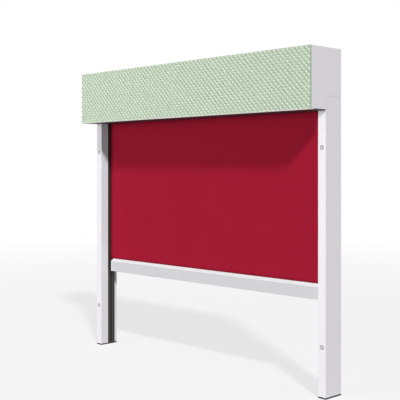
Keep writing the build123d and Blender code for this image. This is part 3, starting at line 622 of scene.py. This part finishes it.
def embossed_board(low, high):
    """Board between two corners, with pits pressed into its front."""
    reach = (high.x - low.x + high.z - low.z) / 2 / math.sqrt(2)
    half_count = math.ceil(reach / EMBOSS_PITCH) + SPARE_SQUARES
    count = 2 * half_count
    shape = bmesh.new()
    bmesh.ops.create_grid(shape, x_segments=count, y_segments=count, size=half_count * EMBOSS_PITCH)
    stand_up = Matrix.Rotation(math.pi / 2, 4, "X") @ Matrix.Rotation(math.pi / 4, 4, "Z")
    to_front = Matrix.Translation((EMBOSS_SHIFT[0], low.y, EMBOSS_SHIFT[1]))
    bmesh.ops.transform(shape, matrix=to_front @ stand_up, verts=shape.verts)
    outside = [face for face in shape.faces if is_outside(face.calc_center_median(), low, high)]
    bmesh.ops.delete(shape, geom=outside, context="FACES")
    squares = shape.faces[:]
    bmesh.ops.inset_individual(shape, faces=squares, thickness=RIDGE_WIDTH / 2, depth=0.0)
    bmesh.ops.inset_individual(shape, faces=squares, thickness=PIT_WALL, depth=-PIT_DEPTH)
    trim_to_board(shape, low, high)
    close_to_back(shape, high.y)
    return shape


def is_outside(point, low, high):
    """Whether a point lies more than one square outside the board."""
    too_far_across = point.x < low.x - EMBOSS_PITCH or point.x > high.x + EMBOSS_PITCH
    too_far_up = point.z < low.z - EMBOSS_PITCH or point.z > high.z + EMBOSS_PITCH
    return too_far_across or too_far_up


def trim_to_board(shape, low, high):
    """Four cuts that throw away what lies outside the board."""
    for corner, side in ((low, -1), (high, 1)):
        for direction in (Vector((side, 0, 0)), Vector((0, 0, side))):
            bmesh.ops.bisect_plane(
                shape, geom=everything(shape), plane_co=corner, plane_no=direction, clear_outer=True
            )


def close_to_back(shape, back):
    """Pulls the open rim straight to the back and closes it there."""
    rim = [edge for edge in shape.edges if edge.is_boundary]
    pulled = bmesh.ops.extrude_edge_only(shape, edges=rim)
    for part in pulled["geom"]:
        if isinstance(part, bmesh.types.BMVert):
            part.co.y = back
    open_edges = [edge for edge in shape.edges if edge.is_boundary]
    bmesh.ops.holes_fill(shape, edges=open_edges, sides=0)


board_shape = embossed_board(*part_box("render_board"))
board = add_piece("embossed_board", board_shape, green_foam, ["render_board"])
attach(board, "cassette")

# %% [markdown]
# ## The screen
# The screen hangs from the back of the roller to a rod inside the bar. Zips hold its edges in the rails
# and the bar pulls it tight, so it doesn't sag or fold. What is left is a faint wave of a few tenths of a
# millimetre, from threads that are not all equally tight, and it shows only in a grazing light.
# The cloth starts as a grid, gets the wave by a formula, and is then thickened. The wave dies out where
# the cloth is held, at the zips, at the bar and at the roller, so it doesn't touch the wound cloth.

# %% Hang the screen
CLOTH_THICKNESS = 0.0006
WAVE_DEPTH = 0.00022
WAVE_LENGTH = 0.19
WAVE_SLANT = 3
CALM_EDGE = 1 / 6
SCREEN_COLUMNS = 72
SCREEN_ROWS = 48


def hanging_cloth(low, high):
    """Upright sheet of cloth between two corners, with a faint wave."""
    middle = (low + high) / 2
    size = high - low
    shape = bmesh.new()
    bmesh.ops.create_grid(shape, x_segments=SCREEN_COLUMNS, y_segments=SCREEN_ROWS, size=0.5)
    to_size = Matrix.Diagonal((size.x, size.z, 1.0, 1.0))
    stand_up = Matrix.Translation(middle) @ Matrix.Rotation(math.pi / 2, 4, "X")
    bmesh.ops.transform(shape, matrix=stand_up @ to_size, verts=shape.verts)
    give_cloth_map(shape)
    for vertex in shape.verts:
        from_zip = 1 - abs(vertex.co.x - middle.x) / (size.x / 2)
        from_end = 1 - abs(vertex.co.z - middle.z) / (size.z / 2)
        swing = math.sin(2 * math.pi * vertex.co.x / WAVE_LENGTH + WAVE_SLANT * vertex.co.z)
        vertex.co.y += WAVE_DEPTH * min(1.0, from_zip / CALM_EDGE, from_end / CALM_EDGE) * swing
    thicken(shape, Vector((0, CLOTH_THICKNESS, 0)))
    return shape


def thicken(shape, across):
    """Gives a flat sheet its thickness along a vector, half to each side."""
    grown = bmesh.ops.extrude_face_region(shape, geom=shape.faces[:])
    moved = [part for part in grown["geom"] if isinstance(part, bmesh.types.BMVert)]
    bmesh.ops.translate(shape, verts=moved, vec=across)
    bmesh.ops.translate(shape, verts=shape.verts, vec=-across / 2)


screen_low, screen_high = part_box("fabric_screen")
screen_shape = hanging_cloth(screen_low, screen_high)
screen = add_piece("red_screen", screen_shape, red_cloth, ["fabric_screen"])
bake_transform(screen)

# %% [markdown]
# ## The zips
# Half of a heavy zip is welded along each edge of the cloth. Its tape lies flat on the cloth and its
# teeth are wider than the slot in the rail, which is what keeps the wind from pulling the screen out.
# One tooth is a cube with its edges bevelled, and a loop copies it down the edge. There are hundreds,
# so each has few faces.

# %% Make the zips
TOOTH_PITCH = 0.0026
TOOTH_HEIGHT = 0.0017
TOOTH_BEVEL = 0.0004
TAPE_THICKNESS = 0.0010
TAPE_SHARE = 0.45


def block(shape, low, high, edge=0.0):
    """Box between two corners with its edges taken off, added to a bmesh."""
    made = bmesh.ops.create_cube(shape, size=1.0)["verts"]
    bmesh.ops.scale(shape, vec=high - low, verts=made)
    bmesh.ops.translate(shape, vec=(low + high) / 2, verts=made)
    if edge:
        edges = list({link for vertex in made for link in vertex.link_edges})
        bmesh.ops.bevel(
            shape, geom=edges, offset=edge, affect="EDGES", segments=1, profile=0.5, material=-1
        )


def zip_half(low, high, side):
    """Tape and teeth of one zip. The teeth are on the outer side."""
    middle = (low + high) / 2
    outer = high.x if side > 0 else low.x
    inner = low.x if side > 0 else high.x
    seam = inner + TAPE_SHARE * (outer - inner)
    shape = bmesh.new()
    tape_low = Vector((min(inner, seam), middle.y - TAPE_THICKNESS / 2, low.z))
    tape_high = Vector((max(inner, seam), middle.y + TAPE_THICKNESS / 2, high.z))
    block(shape, tape_low, tape_high)
    for row in range(1, SCREEN_ROWS):
        height = low.z + (high.z - low.z) * row / SCREEN_ROWS
        bmesh.ops.bisect_plane(shape, geom=everything(shape), plane_co=(0, 0, height), plane_no=(0, 0, 1))
    count = int((high.z - low.z) / TOOTH_PITCH)
    for number in range(count):
        foot = low.z + number * TOOTH_PITCH
        tooth_low = Vector((min(seam, outer), low.y, foot))
        tooth_high = Vector((max(seam, outer), high.y, foot + TOOTH_HEIGHT))
        block(shape, tooth_low, tooth_high, edge=TOOTH_BEVEL)
    give_cloth_map(shape)
    return shape


for side_name, side in (("left", -1), ("right", 1)):
    node_name = "zip_strip_" + side_name
    shape = zip_half(*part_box(node_name), side)
    half = add_piece("screen_zip_" + side_name, shape, tape_cloth, [node_name])
    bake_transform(half)

# %% [markdown]
# ## The cloth on the roller
# Some cloth always stays on the tube, so that the rod in the tube's groove doesn't carry the whole load.
# A plain cylinder would do from afar, but with the cover open its ends show, and there wound cloth is
# a spiral. So a flat sheet is made as long as all its turns, thickened and rolled up: how far a point
# lies along the sheet gives its angle, and the radius shrinks a little with every turn.

# %% Wind the cloth
TURNS = 2.0
STEPS_PER_TURN = 64
WOUND_COLUMNS = 24
TURN_GROWTH = 0.00064


def wound_cloth(low, high, tube_radius):
    """Spiral of cloth about the middle of a box, whose outer end is at the back."""
    axis = (low + high) / 2
    outer_radius = (high.z - low.z) / 2 - CLOTH_THICKNESS / 2
    inner_radius = outer_radius - TURNS * TURN_GROWTH
    assert inner_radius - CLOTH_THICKNESS / 2 > tube_radius
    steps = int(TURNS * STEPS_PER_TURN)
    length = 2 * math.pi * TURNS * (outer_radius + inner_radius) / 2
    shape = bmesh.new()
    bmesh.ops.create_grid(shape, x_segments=WOUND_COLUMNS, y_segments=steps, size=0.5)
    bmesh.ops.scale(shape, vec=(high.x - low.x, length, 1.0), verts=shape.verts)
    give_cloth_map(shape, along=1)
    thicken(shape, Vector((0, 0, CLOTH_THICKNESS)))
    for vertex in shape.verts:
        share = vertex.co.y / length + 0.5
        angle = 2 * math.pi * TURNS * share
        radius = outer_radius - TURNS * TURN_GROWTH * share + vertex.co.z
        vertex.co = (vertex.co.x, axis.y + radius * math.cos(angle), axis.z + radius * math.sin(angle))
    return shape, length


roll_low, roll_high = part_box("fabric_roll")
tube_low, tube_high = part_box("roller_tube")
wound_shape, wound_length = wound_cloth(roll_low, roll_high, (tube_high.y - tube_low.y) / 2)
wound = add_piece("wound_screen", wound_shape, red_cloth, ["fabric_roll"])
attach(wound, "roller")
print(f"wound cloth: {wound_length:.3f} m on the tube")

# %% [markdown]
# The screen is as long as it hangs, and the wound part is as long as its spiral.

# %% [markdown]
# ## The screw covers
# Two small covers close the screw holes in the front of each rail. They are turned shapes: a narrow rim,
# a groove that looks like a grey ring from its shadow and from shade that the finish paints into it, a
# button in the middle, and behind it a plug that snaps into the hole. Half of the outline, from the middle
# of the button to the middle of the plug, is spun once round the cover's own axis.

# %% Turn the screw covers
BUTTON_RADIUS = 0.0024
GROOVE_RADIUS = 0.0057
GROOVE_FLOOR = 0.0001
RIM_SOFTNESS = 0.0002
RIM_BEND = 0.3
PLUG_RADIUS = 0.0048
COVER_STEPS = 48
MERGE_DISTANCE = 1e-6


def screw_cover(shape, place, rim_radius, thickness, plug_length):
    """One cover on the rail's front face, added to a bmesh."""
    outline = [
        (0.0, -thickness),
        (BUTTON_RADIUS - RIM_SOFTNESS, -thickness),
        (BUTTON_RADIUS, -thickness + RIM_SOFTNESS),
        (BUTTON_RADIUS, -GROOVE_FLOOR),
        (GROOVE_RADIUS, -GROOVE_FLOOR),
        (GROOVE_RADIUS, -thickness + RIM_SOFTNESS),
        (GROOVE_RADIUS + RIM_SOFTNESS, -thickness),
        (rim_radius - RIM_SOFTNESS, -thickness),
        (rim_radius - RIM_BEND * RIM_SOFTNESS, -thickness + RIM_BEND * RIM_SOFTNESS),
        (rim_radius, -thickness + RIM_SOFTNESS),
        (rim_radius, 0.0),
        (PLUG_RADIUS, 0.0),
        (PLUG_RADIUS, plug_length - RIM_SOFTNESS),
        (PLUG_RADIUS - RIM_SOFTNESS, plug_length),
        (0.0, plug_length),
    ]
    points = [shape.verts.new(place + Vector((radius, depth, 0))) for radius, depth in outline]
    edges = [shape.edges.new(pair) for pair in zip(points, points[1:])]
    bmesh.ops.spin(
        shape,
        geom=points + edges,
        cent=place,
        axis=(0, 1, 0),
        angle=2 * math.pi,
        steps=COVER_STEPS,
        use_merge=True,
    )
    bmesh.ops.remove_doubles(shape, verts=shape.verts, dist=MERGE_DISTANCE)


def parts_of(node_name):
    """Boxes of the loose parts of a node, each as its lowest and highest corner."""
    copy = bmesh.new()
    copy.from_mesh(frame["nodes"][node_name].data)
    bmesh.ops.remove_doubles(copy, verts=copy.verts, dist=MERGE_DISTANCE)
    boxes = []
    left = set(copy.verts)
    while left:
        group = {left.pop()}
        edge_of_group = set(group)
        while edge_of_group:
            vertex = edge_of_group.pop()
            near = {edge.other_vert(vertex) for edge in vertex.link_edges} & left
            left -= near
            group |= near
            edge_of_group |= near
        points = [vertex.co for vertex in group]
        low = Vector([min(point[axis] for point in points) for axis in range(3)])
        high = Vector([max(point[axis] for point in points) for axis in range(3)])
        boxes.append((low, high))
    copy.free()
    return boxes


rail_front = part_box("rail_right")[0].y
covers = bmesh.new()
for low, high in parts_of("rail_cover_caps"):
    centre = Vector(((low.x + high.x) / 2, rail_front, (low.z + high.z) / 2))
    screw_cover(covers, centre, (high.x - low.x) / 2, rail_front - low.y, high.y - rail_front)
screw_covers = add_piece("rail_screw_covers", covers, cover_plastic, ["rail_cover_caps"])
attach(screw_covers, "cassette")

# %% [markdown]
# ## Light
# The picture has one clear light from the upper right, which draws the cassette's shadow on the cloth,
# and an even light from the front. A sun lamp makes the first, because its shadow is the same over the
# whole width. It is given a small angle, so the shadow's edge is a little soft.
# A wide panel in front makes the second, and a pale world fills the rest.
# The picture leaves out two things that light would do by itself. The rails are as neutral beside the
# cloth as elsewhere, so the cloth scatters no red light here. The right rail throws no shadow on the
# screen and the bar, so they have a sun of their own, which shines through that rail. Light linking
# tells both suns which pieces they light and which pieces stop them.

# %% Lamps
SHADOW_CORNER = Vector((0.4525, -0.1210, -0.0763))
SHADOW_ON_CLOTH = Vector((0.2939, -0.0215, -0.2174))
SUN_LEVEL = 0.78
SUN_ANGLE = math.radians(5.0)
PANEL_PLACE = Vector((-0.5, -4.6, -0.75))
PANEL_TARGET = Vector((0.0, 0.0, -0.35))
PANEL_SIZE = 3.0
PANEL_POWER = 222.0
WORLD_LEVEL = 0.12
BEHIND_RAIL = ("bottom_bar", "bar_end_cap_left", "bar_end_cap_right")
RIGHT_RAIL = ("rail_right", "zip_guide_right", "rail_inlet_right", "rail_foot_right", "bar_slider_right")


def aim(lamp, direction):
    """Turns a lamp so that it shines along a direction."""
    lamp.rotation_euler = direction.to_track_quat("-Z", "Y").to_euler()


def add_lamp(name, kind, energy):
    """A lamp of one kind in the scene."""
    lamp = bpy.data.objects.new(name, bpy.data.lights.new(name, kind))
    lamp.data.energy = energy
    bpy.context.scene.collection.objects.link(lamp)
    return lamp


def add_sun(name):
    """A sun from the upper right. At a level of 1, white that faces it is just white."""
    lamp = add_lamp(name, "SUN", SUN_LEVEL * math.pi)
    lamp.data.angle = SUN_ANGLE
    aim(lamp, SHADOW_ON_CLOTH - SHADOW_CORNER)
    return lamp


def link_set(name, pieces, state):
    """A set of pieces that a lamp is told to include or to leave out."""
    group = bpy.data.collections.new(name)
    for piece in pieces:
        group.objects.link(piece)
    for item in group.collection_objects:
        item.light_linking.link_state = state
    return group


behind_rail = [screen] + [frame["nodes"][name] for name in BEHIND_RAIL]
right_rail = [screw_covers] + [frame["nodes"][name] for name in RIGHT_RAIL]
sun = add_sun("sun")
sun.light_linking.receiver_collection = link_set("lit_by_the_other_sun", behind_rail, "EXCLUDE")
screen_sun = add_sun("screen_sun")
screen_sun.light_linking.receiver_collection = link_set("lit_past_the_rail", behind_rail, "INCLUDE")
screen_sun.light_linking.blocker_collection = link_set("lets_the_sun_through", right_rail, "EXCLUDE")
panel = add_lamp("panel", "AREA", PANEL_POWER)
panel.data.size = PANEL_SIZE
panel.location = PANEL_PLACE
aim(panel, PANEL_TARGET - PANEL_PLACE)
screen.visible_diffuse = False
print("lamps:", sun.name, screen_sun.name, panel.name)

# %% [markdown]
# ## Floor and background
# The awning stands on nothing, but a floor under the rails shows where they end and catches a shadow.
# The background is white. Turning up the lamps would make it white too, and burn out the pale rails,
# so the world and the floor are white only for rays that come from the camera or from a reflection.

# %% The world
def seen_directly(tree):
    """A number that is 1 for rays from the camera, from gloss and through clear material."""
    path = tree.nodes.new("ShaderNodeLightPath")
    total = path.outputs["Is Camera Ray"]
    for name in ("Is Glossy Ray", "Is Transmission Ray"):
        join = tree.nodes.new("ShaderNodeMath")
        join.operation = "MAXIMUM"
        tree.links.new(total, join.inputs[0])
        tree.links.new(path.outputs[name], join.inputs[1])
        total = join.outputs[0]
    return total


world = bpy.data.worlds.new("studio")
world.use_nodes = True
bpy.context.scene.world = world
sky = world.node_tree.nodes["Background"]
sky.inputs["Color"].default_value = (1, 1, 1, 1)
level = world.node_tree.nodes.new("ShaderNodeMapRange")
level.inputs["To Min"].default_value = WORLD_LEVEL
level.inputs["To Max"].default_value = 1.0
world.node_tree.links.new(seen_directly(world.node_tree), level.inputs["Value"])
world.node_tree.links.new(level.outputs["Result"], sky.inputs["Strength"])
print("world level:", WORLD_LEVEL)

# %% [markdown]
# The floor is grey to the light that bounces off it, so the undersides stay as dark as in the picture,
# and pale to the camera. Its own white grows with the distance from the awning until nothing but white
# is left, so no horizon shows, while the shadow near the rails stays.

# %% The floor
FLOOR_SIZE = 30.0
FLOOR_FOR_LIGHT = (0.34, 0.34, 0.34, 1)
FLOOR_FOR_CAMERA = (0.92, 0.92, 0.92, 1)
FLOOR_WHITE_NEAR = 0.74
FADE_START = 1.0
FADE_END = 5.0

floor_finish = Finish("floor_white")
direct = Signal(floor_finish, seen_directly(floor_finish.tree))
floor_finish.set(Base_Color=floor_finish.mix(direct, FLOOR_FOR_LIGHT, FLOOR_FOR_CAMERA))
floor_finish.set(Roughness=0.9, Specular_IOR_Level=0.1)
floor_place = floor_finish.place()
distance = floor_finish.node("ShaderNodeVectorMath", {"operation": "LENGTH"}, {0: floor_place}, "Value")
fade_inputs = {"Value": distance, "From Min": FADE_START, "From Max": FADE_END, "To Min": FLOOR_WHITE_NEAR}
fade = floor_finish.node("ShaderNodeMapRange", {"interpolation_type": "SMOOTHSTEP"}, fade_inputs)
glow = floor_finish.node("ShaderNodeEmission")
surface = {0: direct * fade, 1: Signal(floor_finish, floor_finish.shader.outputs[0]), 2: glow}
both = floor_finish.node("ShaderNodeMixShader", {}, surface)
floor_finish.feed(floor_finish.tree.nodes["Material Output"].inputs["Surface"], both)

floor_shape = bmesh.new()
bmesh.ops.create_grid(floor_shape, x_segments=1, y_segments=1, size=FLOOR_SIZE / 2)
bmesh.ops.translate(floor_shape, vec=(0, 0, cad_box[0].z), verts=floor_shape.verts)
floor_mesh = bpy.data.meshes.new("floor")
floor_shape.to_mesh(floor_mesh)
floor_mesh.materials.append(floor_finish.material)
floor = bpy.data.objects.new("floor", floor_mesh)
bpy.context.scene.collection.objects.link(floor)
print(f"floor at {cad_box[0].z:.4f} m")

# %% [markdown]
# ## The view transform
# The dressed awning has to stay in the box of the imported model. The view transform is set to Standard.

# %% Set the view transform
bpy.context.scene.view_settings.view_transform = "Standard"
